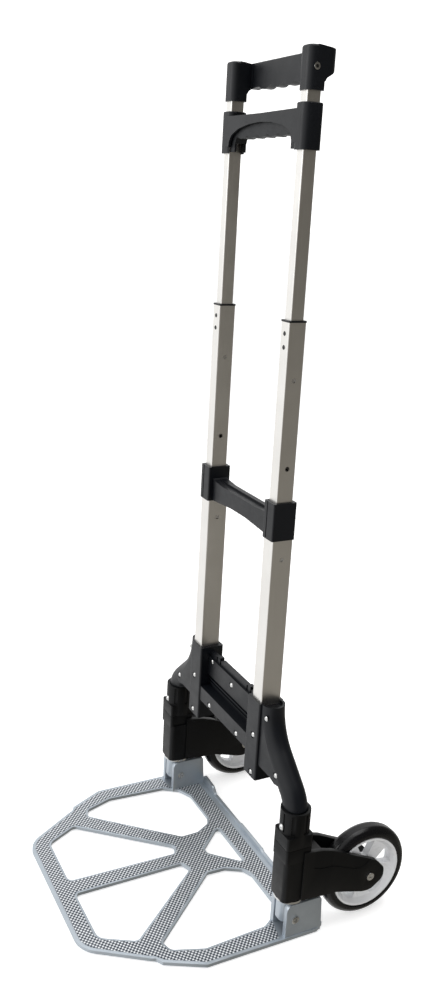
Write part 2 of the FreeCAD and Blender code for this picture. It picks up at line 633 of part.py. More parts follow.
tw, rr, rw = D["tyre_w"] / 2, D["rim_rad"], D["rim_w"] / 2
tyre = revolve("tyre", [(-tw + 1.6, rr), (-tw, rr + 2.4, 1.5), (-tw + 0.3, rr + 6.5, 6), (-tw + 3.6, WR - 2.6, 7), (-5, WR, 6), (5, WR, 6),
                        (tw - 3.6, WR - 2.6, 7), (tw - 0.3, rr + 6.5, 6), (tw, rr + 2.4, 1.5), (tw - 1.6, rr)], 0)
place(tyre, "leg_half", "wheel_back", "wheel_rad")
pair("tyre", tyre)
rim = revolve("rim", [(-rw, rr), (-rw, rr - 3, 1), (-5, rr - 6, 2), (-5, 14, 1), (-12.8, 13), (-12.8, 6.0), (12.8, 6.0), (12.8, 13), (6, 14, 1), (6, rr - 7.5, 2),
                      (rw, rr - 3, 1), (rw, rr)], 0)
win = rim.newObject("Sketcher::SketchObject", "rim_window")
win.AttachmentSupport = [(plane_of(rim, "YZ_Plane"), "")]
win.MapMode = "FlatFace"
win.addGeometry(segments([(-3.6, 19.0, 2), (3.6, 19.0, 2), (14.5, 41.5, 3), (0, 45.0, 20), (-14.5, 41.5, 3)]))
wp = rim.newObject("PartDesign::Pocket", "rim_window_cut")
wp.Profile = win
wp.Type = 1
wp.Midplane = True
doc.recompute()
pp = rim.newObject("PartDesign::PolarPattern", "rim_windows")
pp.Originals = [wp]
pp.Axis = (plane_of_axis(rim, "X_Axis"), [""])
pp.Angle = 360.0
pp.Occurrences = 5
rim.Tip = pp
doc.recompute()
place(rim, "leg_half", "wheel_back", "wheel_rad")
pair("wheel_rim", rim)
bear = cut(cyl("leg_half-12.8-0.6", "wheel_back", "wheel_rad", 6.0, "25.6+1.2", "x"),
           [cyl("leg_half-40", "wheel_back", "wheel_rad", "axle_dia/2+0.05", 80, "x")])
pair("wheel_bearing", bear)

# ---------------------------------------------------------------- nose plate with its lugs
right = [(0, 48), (160, 48), (192.8, 48, 3), (201, 35, 3), (201, -126, 2), (198.5, -131, 2), (175.3, -176, 3), (166.5, -181, 2), (163.5, -187, 2),
         (112.8, -264, 38)]
outline = [p for p in right] + [((-p[0],) + tuple(p[1:])) for p in reversed(right[1:])]
side = [(144, -163, 6), (160, -158, 10), (175, -116, 5), (170, -27, 8), (155, -4, 10), (134, 6.5, 6), (73, 6.5, 6), (58, 0, 8), (45, -23, 6), (44, -50, 5)]
front_cut = [(129, -191, 8), (104, -236, 15), (20, -236.5, 5), (14, -233, 4), (12, -76, 6), (28, -70, 6)]
back_cut = [(45, 11, 4), (5.5, -31, 6), (-5.5, -31, 6), (-45, 11, 4)]
loops = [outline, side, [(-p[0],) + tuple(p[1:]) for p in reversed(side)], front_cut, [(-p[0],) + tuple(p[1:]) for p in reversed(front_cut)], back_cut]
# the bars are a thin deck with a web under them, set back from every edge


def inset(pts, d):
    area = sum(pts[i - 1][0] * pts[i][1] - pts[i][0] * pts[i - 1][1] for i in range(len(pts)))
    sgn = 1 if area > 0 else -1
    out = []
    for i, p in enumerate(pts):
        a, c = pts[i - 1], pts[(i + 1) % len(pts)]
        l1, l2 = math.hypot(p[0] - a[0], p[1] - a[1]), math.hypot(c[0] - p[0], c[1] - p[1])
        n1 = ((p[1] - a[1]) / l1 * sgn, -(p[0] - a[0]) / l1 * sgn)
        n2 = ((c[1] - p[1]) / l2 * sgn, -(c[0] - p[0]) / l2 * sgn)
        k = -d / (1 + n1[0] * n2[0] + n1[1] * n2[1])
        out.append((p[0] + k * (n1[0] + n2[0]), p[1] + k * (n1[1] + n2[1])) + ((max(p[2] - d, 0.5),) if len(p) > 2 and p[2] else ()))
    return out


deck = extrude(loops, "xy", "deck_z", "plate_t-deck_z")
out2 = [(0, 48), (160, 48), (190, 48, 3), (197, 35, 3), (197, -125, 2), (172.4, -173.6, 3), (160.5, -184, 2), (110.6, -260, 34)]
web_loops = [out2 + [((-p[0],) + tuple(p[1:])) for p in reversed(out2[1:])], inset(side, -4.0)]
web_loops += [[(-p[0],) + tuple(p[1:]) for p in reversed(web_loops[1])], inset(front_cut, -4.0)]
web_loops += [[(-p[0],) + tuple(p[1:]) for p in reversed(web_loops[3])], inset(back_cut, -4.0)]
plate = fuse([deck, extrude(web_loops, "xy", 0, "deck_z+0.5")])
flange = extrude([[(-160, 2), (160, 2), (160, 20, 3), (128, 18, 6), (119, 9.5, 6), (38, 9.5, 2), (33, 12, 2), (-33, 12, 2), (-38, 9.5, 2), (-119, 9.5, 6),
                   (-128, 18, 6), (-160, 20, 3)]], "xz", 41.5, 5.0)
lug = [(-13, 3), (41, 3), (41, 20), (39, "top", 4), (-13, "top", 9)]
lug = [tuple(D["lug_top"] if v == "top" else v for v in p) for p in lug]
lugs = []
for s in ("leg_half+lug_in", "leg_half-lug_out"):
    a = extrude([lug], "yz", s, "lug_out-lug_in")
    lugs += [a, mirror(a)]
plate = fuse([plate, flange] + lugs)
plate = cut(plate, [cyl("0-leg_half-40", 0, "pin_z", "pin_dia/2", "2*leg_half+80", "x")])
node("nose_plate", plate)
pin = fuse([cyl("leg_half-lug_out-1.2", 0, "pin_z", "pin_dia/2", "2*lug_out+1.2", "x"), cyl("leg_half+lug_out", 0, "pin_z", 5.5, 1.6, "x"),
            cone("leg_half+lug_out+1.6", 0, "pin_z", 5.5, 3.6, 0.9, "x"), cyl("leg_half-lug_out-1.6", 0, "pin_z", 5.0, 1.6, "x")])
pin = cut(pin, [box("leg_half+lug_out+0.9", -0.7, D["pin_z"] - 3.2, 4, 1.4, 6.4), box("leg_half+lug_out+0.9", -3.2, D["pin_z"] - 0.7, 4, 6.4, 1.4)])
both("hinge_pins", [pin])
washers = []
for x in ("leg_half-lug_in+0.02", "leg_half+11.85"):
    washers.append(cut(cyl(x, 0, "pin_z", 5.6, 0.55, "x"), [cyl("leg_half-30", 0, "pin_z", "pin_dia/2", 60, "x")]))
both("hinge_washers", washers)

# ---------------------------------------------------------------- lower handle with its release grip


def loop_rect(x0, x1, y0, y1, r):
    return [(x0, y0, r), (x1, y0, r), (x1, y1, r), (x0, y1, r)]


def sleeve_plan(x, y0, y1, half, r_front, r_rear):
    return [(x - half, y0, r_front), (x + half, y0, r_front), (x + half, y1, r_rear), (x - half, y1, r_rear)]


hs = [extrude([sleeve_plan(s * TH, -14.8, 10.6, 13.0, 10.0, 6.5)], "xy", 982.5, 50.0) for s in (1, -1)]
hs = [round_rim(h, 1032.5, 1.4) for h in hs]
front_wall = extrude([[(-TH, 990), (-78, 990), (-77, 996, 3), (-71.5, 1003.5, 12), (-54.5, 1010.2, 30), (-27, 1014.4, 60), (0, 1015.8, 90), (27, 1014.4, 60),
                       (54.5, 1010.2, 30), (71.5, 1003.5, 12), (77, 996, 3), (78, 990), (TH, 990), (TH, 1026.4), (0, 1025.6, 900), (-TH, 1026.4)]],
                     "xz", -14.8, 4.0)
rear_wall = extrude([[(-TH, 1000), (-62, 1000), (-56, 1010, 6), (56, 1010, 6), (62, 1000), (TH, 1000), (TH, 1026.4), (0, 1025.6, 900), (-TH, 1026.4)]],
                    "xz", 7.4, 3.2)
roof = extrude([[(-TH, 1021), (TH, 1021), (TH, 1026.4), (0, 1025.6, 900), (-TH, 1026.4)]], "xz", -13.0, 22.0)
handle = fuse(hs + [front_wall, rear_wall, roof])
cuts = []
for s in (1, -1):
    cuts.append(box(s * TH - D["upper_w"] / 2, TY - D["upper_d"] / 2, 900, D["upper_w"], D["upper_d"], 200))
# open inner side of each sleeve, where the grip's legs stand
cuts.append(box(-TH + 7, TY - 10.0, 970, 2 * TH - 14, 19.0, 50.5))
node("lower_handle", cut(handle, cuts))

LOBE = 25.4
pts = [(-69, 993, 2), (-66, 1000, 3)]
for k in range(5):
    x0 = (k - 2.5) * LOBE
    pts += [(x0 + 0.8, 1002.2, 1.2), (x0 + LOBE * 0.3, 999.0, 16), (x0 + LOBE * 0.7, 999.0, 16), (x0 + LOBE - 0.8, 1002.2, 1.2)]
pts += [(66, 1000, 3), (69, 993, 2), (69, 984), (80.5, 984), (80.5, 1011, 3), (64, 1013.5, 20), (40, 1015.5), (-40, 1015.5), (-64, 1013.5, 20), (-80.5, 1011, 3), (-80.5, 984), (-69, 984)]
grip = extrude([pts], "xz", TY - 8.6, 16.2)
grip = cut(grip, [box(68.5, TY - 6, 980, 14, 11.4, 24.0), box(-82.5, TY - 6, 980, 14, 11.4, 24.0)])
node("release_grip", grip)
# release rods: hang in the upper tubes from a cross hook in the grip
rods = []
hook = fuse([box(80.5, TY - 1.5, 1006.5, TH - 2.2 - 80.5, 3.0, 3.0), box(TH - 4.4, TY - 6.3, 1006.5, 2.2, 6.8, 3.0), cyl(TH - 3.4, TY - 5.3, "lock_two+6", 1.0, 1009.5 - D["lock_two"] - 6)])
both("release_rods", [hook])
node("grip_springs", group([spring(x, TY, 1016.1, 3.4, 0.5, 1.9, 3.8) for x in (52, -52)], "grip_spring_pair"))

# ---------------------------------------------------------------- upper handle
TOP = 1091.2
tops = [extrude([sleeve_plan(s * TH, -13.2, 9.6, 12.9, 10.0, 5.0)], "xy", 1044.8, TOP - 1044.8) for s in (1, -1)]
tops = [round_rim(t, TOP, 3.2) for t in tops]
plan = extrude([[(77.5, -3, 1), (103.3, -3, 1), (103.3, 24.6, 13.0), (77.5, 24.6, 1.5)]], "xy", 1050.0, TOP - 1050.0)
side = extrude([[(-3, 1052), (8.0, 1054), (10.4, 1058.2, 4), (18.0, 1062.6, 6), (24.6, 1067.5, 6), (24.6, 1088.4, 4), (-3, TOP)]], "yz", 70.0, 40.0)
rear = common(plan, side)
rear_b = mirror(rear)
GRIP = 29.0
gp = [(-78, 1060), (-2.5 * GRIP + 8, 1061.5, 3)]
for k in range(4):
    x0 = (k - 2) * GRIP
    gp += [(x0 + 0.9, 1061.6, 1.4), (x0 + GRIP * 0.3, 1058.2, 18), (x0 + GRIP * 0.7, 1058.2, 18), (x0 + GRIP - 0.9, 1061.6, 1.4)]
gp += [(2.5 * GRIP - 8, 1061.5, 3), (78, 1060), (78, TOP), (-78, TOP)]
grip_bar = common(extrude([gp], "xz", 10.0, 20.0),
                  extrude([[(13.0, 1050), (24.6, 1050, 4), (24.6, 1089.6, 5), (13.0, 1090.6, 2)]], "yz", -80.0, 160.0))
rims = [box(s * 75.2 - 2.3, 12.2, 1062.5, 4.6, 5.0, 27.2) for s in (1, -1)]
upper_all = fuse(tops + [rear, rear_b, grip_bar] + rims, "upper_handle_whole")
cuts = [box(s * TH - D["upper_w"] / 2, TY - D["upper_d"] / 2, 1000, D["upper_w"], D["upper_d"], 74.0) for s in (1, -1)]
for s in (1, -1):
    cuts.append(cyl(s * TH + s * 6 - (12 if s < 0 else 0), TY - 1.6, 1069.0, 1.6, 12, "x"))
    cuts.append(cyl(s * (TH + 12.9) - (3 if s < 0 else 1.5), TY - 1.6, 1069.0, 4.2, 4.5, "x"))
upper_all = cut(upper_all, cuts, "upper_handle_bored")
node("handle_body", common(upper_all, box(-150, -60, 1030, 300, 120, 48.0)))
node("handle_cover", common(upper_all, box(-150, -60, 1078.0, 300, 120, 40)))
sc = cut(fuse([cyl(TH + 12.9 - 1.5, TY - 1.6, 1069.0, 3.8, 1.3, "x"), cyl(TH + 5.4, TY - 1.6, 1069.0, 1.6, 6.1, "x")]),
         [extrude([[(TY - 1.6 + 2.2 * math.cos(math.radians(60 * k)), 1069.0 + 2.2 * math.sin(math.radians(60 * k))) for k in range(6)]], "yz", TH + 11.7, 4)])
both("handle_screws", [sc])

# ---------------------------------------------------------------- check and write
doc.recompute()
bad = [o.Name + " " + ",".join(o.State) for o in doc.Objects if "Invalid" in o.State or "Error" in o.State]
if bad:
    raise RuntimeError("failed objects: " + "; ".join(bad))
for label, o in NODES.items():
    if o.Shape.isNull() or not o.Shape.isValid() or not o.Shape.Solids:
        raise RuntimeError("bad shape: " + label)
if len(NODES) > 60:
    raise RuntimeError("too many nodes")
os.makedirs("parts", exist_ok=True)
for f in os.listdir("parts"):
    if f.endswith(".step") and f[:-5] not in NODES:
        os.remove(os.path.join("parts", f))
total = 0.0
for label, o in NODES.items():
    o.Shape.exportStep("parts/%s.step" % label)
    total += o.Shape.Volume
    b = o.Shape.BoundBox
    print("%-24s solids %d volume %9.0f  x %7.1f %7.1f  y %7.1f %7.1f  z %7.1f %7.1f" % (
        label, len(o.Shape.Solids), o.Shape.Volume, b.XMin, b.XMax, b.YMin, b.YMax, b.ZMin, b.ZMax))
print("nodes", len(NODES), "volume", round(total))
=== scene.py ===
import math
import bpy
import bmesh
from mathutils import Matrix, Vector


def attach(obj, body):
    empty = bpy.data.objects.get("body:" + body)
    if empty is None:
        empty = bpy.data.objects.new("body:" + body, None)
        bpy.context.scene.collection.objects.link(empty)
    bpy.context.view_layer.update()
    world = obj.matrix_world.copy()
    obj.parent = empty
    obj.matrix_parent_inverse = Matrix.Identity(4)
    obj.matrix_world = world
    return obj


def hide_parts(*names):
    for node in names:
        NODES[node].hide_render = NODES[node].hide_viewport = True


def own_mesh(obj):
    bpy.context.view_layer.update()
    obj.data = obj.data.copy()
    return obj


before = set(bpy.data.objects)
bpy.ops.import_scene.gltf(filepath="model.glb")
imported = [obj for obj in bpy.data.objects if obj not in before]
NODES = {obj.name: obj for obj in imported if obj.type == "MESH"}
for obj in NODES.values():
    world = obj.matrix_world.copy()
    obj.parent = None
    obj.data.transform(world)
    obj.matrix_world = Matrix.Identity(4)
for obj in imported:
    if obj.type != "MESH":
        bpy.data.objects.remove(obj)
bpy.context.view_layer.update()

LY = 0.0428          # leg axes behind the origin
LEG = 0.1793         # leg axis from the centre plane
TUBE = 0.0904        # tube axis from the centre plane
TY = LY - 0.0016     # tube axis

# ------------------------------------------------------------------ camera
cam_data = bpy.data.cameras.new("cam")
cam = bpy.data.objects.new("cam", cam_data)
bpy.context.collection.objects.link(cam)
right = Vector((0.44366748, 0.89475171, 0.05077935))
up = Vector((-0.27189133, 0.08039524, 0.95896387))
fwd = Vector((-0.85395214, 0.43926755, -0.27899399))
m = Matrix.Identity(4)
for i in range(3):
    m[i][0], m[i][1], m[i][2] = right[i], up[i], -fwd[i]
m[0][3], m[1][3], m[2][3] = 1.07370, -0.55865, 0.91646
cam.matrix_world = m
cam_data.sensor_fit = "AUTO"
cam_data.sensor_width = 36.0
cam_data.lens = 34.768
cam_data.shift_x = -0.0032
cam_data.shift_y = -0.0124
cam_data.clip_start = 0.01
bpy.context.scene.camera = cam


# ------------------------------------------------------------------ node helpers
class Mat:
    def __init__(self, name):
        self.mat = bpy.data.materials.new(name)
        self.mat.use_nodes = True
        self.t = self.mat.node_tree
        self.t.nodes.clear()
        self.out = self.t.nodes.new("ShaderNodeOutputMaterial")
        self.b = self.t.nodes.new("ShaderNodeBsdfPrincipled")
        self.link(self.b.outputs[0], self.out.inputs[0])
        self.tc = self.t.nodes.new("ShaderNodeTexCoord")

    def link(self, a, b):
        self.t.links.new(a, b)

    def n(self, kind, **kw):
        o = self.t.nodes.new(kind)
        for k, v in kw.items():
            setattr(o, k, v)
        return o

    def set(self, **kw):
        for k, v in kw.items():
            k = k.replace("_", " ")
            self.b.inputs[k].default_value = v

    def obj(self, scale=(1, 1, 1), rot=(0, 0, 0), loc=(0, 0, 0)):
        mp = self.n("ShaderNodeMapping")
        mp.inputs["Scale"].default_value = scale
        mp.inputs["Rotation"].default_value = rot
        mp.inputs["Location"].default_value = loc
        self.link(self.tc.outputs["Object"], mp.inputs["Vector"])
        return mp.outputs[0]

    def noise(self, vec, scale, detail=3.0, rough=0.55):
        o = self.n("ShaderNodeTexNoise")
        o.inputs["Scale"].default_value = scale
        o.inputs["Detail"].default_value = detail
        o.inputs["Roughness"].default_value = rough
        self.link(vec, o.inputs["Vector"])
        return o.outputs[0]

    def voronoi(self, vec, scale, feature="F1", rnd=1.0):
        o = self.n("ShaderNodeTexVoronoi", feature=feature)
        o.inputs["Scale"].default_value = scale
        o.inputs["Randomness"].default_value = rnd
        self.link(vec, o.inputs["Vector"])
        return o.outputs[0]

    def ramp(self, fac, stops):
        o = self.n("ShaderNodeValToRGB")
        el = o.color_ramp.elements
        while len(el) < len(stops):
            el.new(0.5)
        for e, (p, c) in zip(el, stops):
            e.position = p
            e.color = c if len(c) == 4 else (*c, 1)
        self.link(fac, o.inputs[0])
        return o.outputs[0]

    def rng(self, fac, a, b, c, d):
        o = self.n("ShaderNodeMapRange")
        for i, v in zip(("From Min", "From Max", "To Min", "To Max"), (a, b, c, d)):
            o.inputs[i].default_value = v
        self.link(fac, o.inputs[0])
        return o.outputs[0]

    def math(self, op, a, b=None, clamp=False):
        o = self.n("ShaderNodeMath", operation=op, use_clamp=clamp)
        for i, v in enumerate((a, b)):
            if v is None:
                continue
            if isinstance(v, (int, float)):
                o.inputs[i].default_value = v
            else:
                self.link(v, o.inputs[i])
        return o.outputs[0]

    def mix(self, fac, a, b):
        o = self.n("ShaderNodeMix", data_type="RGBA")
        for i, v in ((0, fac), (6, a), (7, b)):
            if isinstance(v, (int, float)):
                o.inputs[i].default_value = v
            elif isinstance(v, tuple):
                o.inputs[i].default_value = v if len(v) == 4 else (*v, 1)
            else:
                self.link(v, o.inputs[i])
        return o.outputs[2]

    def bump(self, height, strength, distance, prev=None):
        o = self.n("ShaderNodeBump")
        o.inputs["Strength"].default_value = strength
        o.inputs["Distance"].default_value = distance
        self.link(height, o.inputs["Height"])
        if prev is not None:
            self.link(prev, o.inputs["Normal"])
        return o.outputs[0]

    def to(self, sock, name):
        self.link(sock, self.b.inputs[name])


def plastic(name, lo, hi, r0, r1, grain=1400.0, depth=0.00005, strength=0.5, spec=0.5):
    q = Mat(name)
    v = q.obj()
    big = q.noise(v, 14.0, 4.0, 0.6)
    fine = q.noise(v, grain, 2.0, 0.7)
    spk = q.voronoi(v, grain * 0.6)
    q.to(q.mix(q.rng(big, 0.3, 0.7, 0.0, 1.0), lo, hi), "Base Color")
    q.to(q.rng(q.noise(v, 46.0, 5.0, 0.65), 0.3, 0.7, r0, r1), "Roughness")
    h = q.math("ADD", fine, q.math("MULTIPLY", spk, 0.6))
    q.to(q.bump(h, strength, depth), "Normal")
    q.set(IOR=1.5, Specular_IOR_Level=spec)
    return q.mat


black = plastic("plastic_black", (0.0024, 0.0033, 0.0054), (0.0040, 0.0052, 0.0080), 0.36, 0.48, spec=0.37)
black_deep = plastic("plastic_deep", (0.0016, 0.0018, 0.0021), (0.0030, 0.0032, 0.0036), 0.38, 0.50, spec=0.22)
black_grip = plastic("plastic_grip", (0.0040, 0.0050, 0.0070), (0.0060, 0.0074, 0.0100), 0.42, 0.55, 1000.0, 0.00008, 0.8, spec=0.33)
nylon = plastic("plastic_nylon", (0.52, 0.52, 0.50), (0.60, 0.60, 0.58), 0.4, 0.5)


def metal(name, col, col2, r0, r1, stretch=(900, 900, 10), bumpy=0.25, depth=0.00003, metallic=1.0, spots=False):
    q = Mat(name)
    lines = q.noise(q.obj(stretch), 1.0, 4.0, 0.7)
    cloud = q.noise(q.obj(), 22.0, 3.0, 0.6)
    c = q.mix(q.rng(cloud, 0.3, 0.7, 0.0, 1.0), col, col2)
    q.to(c, "Base Color")
    q.to(q.rng(q.math("ADD", q.math("MULTIPLY", lines, 0.6), q.math("MULTIPLY", cloud, 0.4)), 0.35, 0.65, r0, r1), "Roughness")
    q.to(q.bump(lines, bumpy, depth), "Normal")
    q.set(Metallic=metallic)
    return q.mat


tube_mat = metal("aluminium_tube", (0.80, 0.785, 0.755), (0.85, 0.835, 0.805), 0.30, 0.42, (700, 700, 10), 0.10, 0.00001)
steel = metal("steel_bright", (0.62, 0.62, 0.61), (0.72, 0.72, 0.71), 0.18, 0.32, (300, 300, 300))
# dark steel for the collar screws; also used as painted shade on the floor of the handle screw sockets
dark_steel_and_shade = metal("steel_dark_and_shade", (0.04, 0.04, 0.04), (0.07, 0.07, 0.07), 0.35, 0.5, (300, 300, 300))
spring_steel = metal("steel_spring", (0.4, 0.4, 0.4), (0.5, 0.5, 0.5), 0.25, 0.35, (300, 300, 300))


def cast(name):
    q = Mat(name)
    v = q.obj()
    cloud = q.noise(v, 30.0, 4.0, 0.6)
    fine = q.noise(v, 1500.0, 2.0, 0.6)
    q.to(q.mix(q.rng(cloud, 0.3, 0.7, 0.0, 1.0), (0.44, 0.49, 0.54), (0.51, 0.56, 0.61)), "Base Color")
    q.to(q.rng(cloud, 0.3, 0.7, 0.36, 0.48), "Roughness")
    q.to(q.bump(fine, 0.35, 0.00005), "Normal")
    q.set(Metallic=0.75)
    return q.mat


cast_mat = cast("cast_alloy")


def tread_plate():
    """Cast tread: a lattice of small raised studs with pits between them, about 4.4 mm apart. The studs are coloured
    near white as painted highlight, the pits near black as painted shade, and the ground between them is darkened as
    painted shade.
    """
    q = Mat("cast_tread")
    v = q.obj()
    cloud = q.noise(v, 30.0, 4.0, 0.6)
    fine = q.noise(v, 1500.0, 2.0, 0.6)
    sep = q.n("ShaderNodeSeparateXYZ")
    q.link(q.obj((1 / 0.0062, 1 / 0.0055, 1)), sep.inputs[0])
    fx = q.math("FRACT", q.math("ADD", sep.outputs[0], sep.outputs[1]))
    fy = q.math("FRACT", q.math("SUBTRACT", sep.outputs[0], sep.outputs[1]))
    sx, sy = q.math("SUBTRACT", fx, 0.5), q.math("SUBTRACT", fy, 0.5)
    gx = q.math("SUBTRACT", 0.5, q.math("ABSOLUTE", sx))
    gy = q.math("SUBTRACT", 0.5, q.math("ABSOLUTE", sy))
    d1 = q.math("SQRT", q.math("ADD", q.math("MULTIPLY", sx, sx), q.math("MULTIPLY", sy, sy)))
    d2 = q.math("SQRT", q.math("ADD", q.math("MULTIPLY", gx, gx), q.math("MULTIPLY", gy, gy)))
    # the stud and pit masks carry the painted highlight and painted shade colours below, and also shape the bump
    stud_highlight_mask = q.rng(d1, 0.22, 0.37, 1.0, 0.0)
    pit_shade_mask = q.rng(d2, 0.16, 0.46, 1.0, 0.0)
    # painted shade: the ground between the studs is a darker grey than the plain cast alloy and the pits are near
    # black; painted highlight: the studs are near white
    ground_with_shade = q.mix(q.rng(cloud, 0.3, 0.7, 0.0, 1.0), (0.22, 0.25, 0.29), (0.30, 0.33, 0.37))
    c = q.mix(pit_shade_mask, ground_with_shade, (0.02, 0.027, 0.04))
    q.to(q.mix(stud_highlight_mask, c, (0.93, 0.95, 0.97)), "Base Color")
    q.to(q.rng(cloud, 0.3, 0.7, 0.38, 0.50), "Roughness")
    h = q.math("SUBTRACT", stud_highlight_mask, pit_shade_mask)
    n1 = q.bump(h, 0.6, 0.0005)
    q.to(q.bump(fine, 0.25, 0.00004, n1), "Normal")
    q.set(Metallic=0.6)
    return q.mat


tread_mat = tread_plate()


def tyre_material():
    q = Mat("tyre_black")
    v = q.obj()
    # painted glints: small scattered specks, about ten times brighter than the rubber and gated by noise, stand in for
    # glints of light on the glossy tyre
    spots = q.voronoi(v, 260.0)
    glint_dots = q.rng(spots, 0.05, 0.11, 1.0, 0.0)
    gate = q.rng(q.noise(v, 120.0, 2.0, 0.5), 0.54, 0.60, 0.0, 1.0)
    glint_mask = q.math("MULTIPLY", glint_dots, gate, True)
    q.to(q.mix(glint_mask, (0.004, 0.004, 0.005), (0.040, 0.041, 0.045)), "Base Color")
    q.to(q.rng(q.noise(v, 60.0, 4.0, 0.6), 0.3, 0.7, 0.20, 0.34), "Roughness")
    q.to(q.bump(q.noise(v, 700.0, 2.0, 0.6), 0.25, 0.00008), "Normal")
    q.set(Specular_IOR_Level=0.38)
    return q.mat


tyre_mat = tyre_material()
rim_mat = plastic("plastic_rim", (0.80, 0.81, 0.83), (0.86, 0.87, 0.89), 0.24, 0.34, 900.0, 0.00003, 0.25)


def paint(names, mat):
    for n in names.split():
        o = NODES[n]
        o.data.materials.clear()
        o.data.materials.append(mat)


paint("lower_tube_right lower_tube_left middle_tube_right middle_tube_left upper_tube_right upper_tube_left", tube_mat)
paint("lower_tube_liners middle_tube_collars middle_lock_plugs upper_lock_plugs cross_brace frame_front_shell frame_rear_shell "
      "detent_collar_right detent_collar_left wheel_fork_right wheel_fork_left lower_handle handle_body handle_cover", black)
paint("release_grip", black_grip)
paint("detent_collar_right detent_collar_left wheel_fork_right wheel_fork_left", black_deep)
paint("fork_bushing_right fork_bushing_left hinge_washers", nylon)
paint("frame_rivets collar_rivets axle_bolt_right axle_bolt_left axle_nut_right axle_nut_left hinge_pins handle_screws thrust_rings "
      "middle_lock_pins upper_lock_pins release_rods wheel_bearing_right wheel_bearing_left", steel)
paint("middle_lock_springs upper_lock_springs grip_springs detent_springs leg_spindle_right leg_spindle_left", spring_steel)
paint("collar_screws", dark_steel_and_shade)
paint("nose_plate foot_block_right foot_block_left", cast_mat)
paint("tyre_right tyre_left", tyre_mat)
paint("wheel_rim_right wheel_rim_left", rim_mat)


def soften(names, width, segments=3, angle=30.0, join=True, even=False):
    for n in names.split():
        o = NODES[n]
        if join:
            w = o.modifiers.new("join", "WELD")
            w.merge_threshold = 0.00001
        b = o.modifiers.new("edges", "BEVEL")
        b.width = width
        b.segments = segments
        b.limit_method = "ANGLE"
        b.angle_limit = math.radians(angle)
        b.harden_normals = True
        b.use_clamp_overlap = True
        if even:
            b.harden_normals = False
            wn = o.modifiers.new("even", "WEIGHTED_NORMAL")
            wn.weight = 80
            wn.keep_sharp = False


soften("cross_brace frame_front_shell frame_rear_shell", 0.0007, 3, 30.0, False)
soften("detent_collar_right detent_collar_left wheel_fork_right wheel_fork_left", 0.0007)
soften("lower_handle handle_body handle_cover", 0.0009, 3, 30.0, False)


soften("release_grip", 0.0009, 3, 30.0, False)
soften("nose_plate", 0.0006)
soften("foot_block_right foot_block_left", 0.0005)
soften("lower_tube_right lower_tube_left middle_tube_right middle_tube_left upper_tube_right upper_tube_left", 0.0003, 2, 30.0, False)
soften("frame_rivets collar_rivets hinge_pins handle_screws axle_bolt_right axle_bolt_left", 0.0002, 2)

for o in NODES.values():
    for p in o.data.polygons:
        p.use_smooth = True
    o.data.set_sharp_from_angle(angle=math.radians(28))

# ------------------------------------------------------------------ mesh helpers
def add_mesh(name, verts, faces):
    me = bpy.data.meshes.new(name)
    me.from_pydata(verts, [], faces)
    o = bpy.data.objects.new(name, me)
    bpy.context.collection.objects.link(o)
    return o


def fillet(pts, n=5):
    """Corners (x, y) or (x, y, r) in mm as a list of points with the corners rounded."""
    out = []
    m_ = len(pts)
    for i, p in enumerate(pts):
        r = p[2] if len(p) > 2 else 0.0
        b_ = Vector(p[:2])
        a_ = Vector(pts[i - 1][:2])
        c_ = Vector(pts[(i + 1) % m_][:2])
        u, w = (a_ - b_), (c_ - b_)
        lu, lw = u.length, w.length
        if r <= 0 or lu < 1e-6 or lw < 1e-6:
            out.append(tuple(b_))
            continue
        u.normalize()
        w.normalize()
        ang = u.angle(w)
        if ang > math.radians(176):
            out.append(tuple(b_))
            continue
        t = min(r / math.tan(ang / 2), 0.48 * lu, 0.48 * lw)
        rr = t * math.tan(ang / 2)
        cen = b_ + (u + w).normalized() * (rr / math.sin(ang / 2))
        s0 = b_ + u * t - cen
        s1 = b_ + w * t - cen
        a0 = math.atan2(s0.y, s0.x)
        da = (math.atan2(s1.y, s1.x) - a0 + math.pi) % (2 * math.pi) - math.pi
        for k in range(n + 1):
            q_ = a0 + da * k / n
            out.append((cen.x + rr * math.cos(q_), cen.y + rr * math.sin(q_)))
    return out


def offset(pts, d):
    """Moves every side of a closed outline outwards by d (negative: inwards), keeping corner radii."""
    area2 = sum(pts[i - 1][0] * pts[i][1] - pts[i][0] * pts[i - 1][1] for i in range(len(pts)))
    sgn = 1 if area2 > 0 else -1
    out = []
    m_ = len(pts)
    for i, p in enumerate(pts):
        a_, b_, c_ = Vector(pts[i - 1][:2]), Vector(p[:2]), Vector(pts[(i + 1) % m_][:2])
        e1, e2 = (b_ - a_).normalized(), (c_ - b_).normalized()
        n1, n2 = Vector((e1.y, -e1.x)) * sgn, Vector((e2.y, -e2.x)) * sgn
        k = 1 + n1.dot(n2)
        v_ = b_ + (n1 + n2) * (d / max(k, 0.2))
        out.append((v_.x, v_.y) + tuple(p[2:]))
    return out


def flat_piece(name, loops, z, thick, bevel=0.0, mat=None):
    """A flat sheet in the ground plane from outlines in mm (leg frame), later loops cut holes."""
    cu = bpy.data.curves.new(name, "CURVE")
    cu.dimensions = "2D"
    cu.fill_mode = "BOTH"
    cu.extrude = thick / 2 - bevel
    cu.bevel_depth = bevel
    cu.bevel_resolution = 1
    for lp in loops:
        pts = fillet(lp)
        sp = cu.splines.new("POLY")
        sp.points.add(len(pts) - 1)
        for q_, (x, y) in zip(sp.points, pts):
            q_.co = (x / 1000, y / 1000 + LY, 0, 1)
        sp.use_cyclic_u = True
    tmp = bpy.data.objects.new(name + "_c", cu)
    bpy.context.collection.objects.link(tmp)
    tmp.location.z = z + thick / 2
    bpy.context.view_layer.update()
    me = bpy.data.meshes.new_from_object(tmp.evaluated_get(bpy.context.evaluated_depsgraph_get()))
    me.transform(Matrix.Translation((0, 0, z + thick / 2)))
    bpy.data.objects.remove(tmp)
    bpy.data.curves.remove(cu)
    o = bpy.data.objects.new(name, me)
    bpy.context.collection.objects.link(o)
    if mat:
        me.materials.clear()
        me.materials.append(mat)
    return o


def flip(pts):
    return [(-p[0],) + tuple(p[1:]) for p in reversed(pts)]


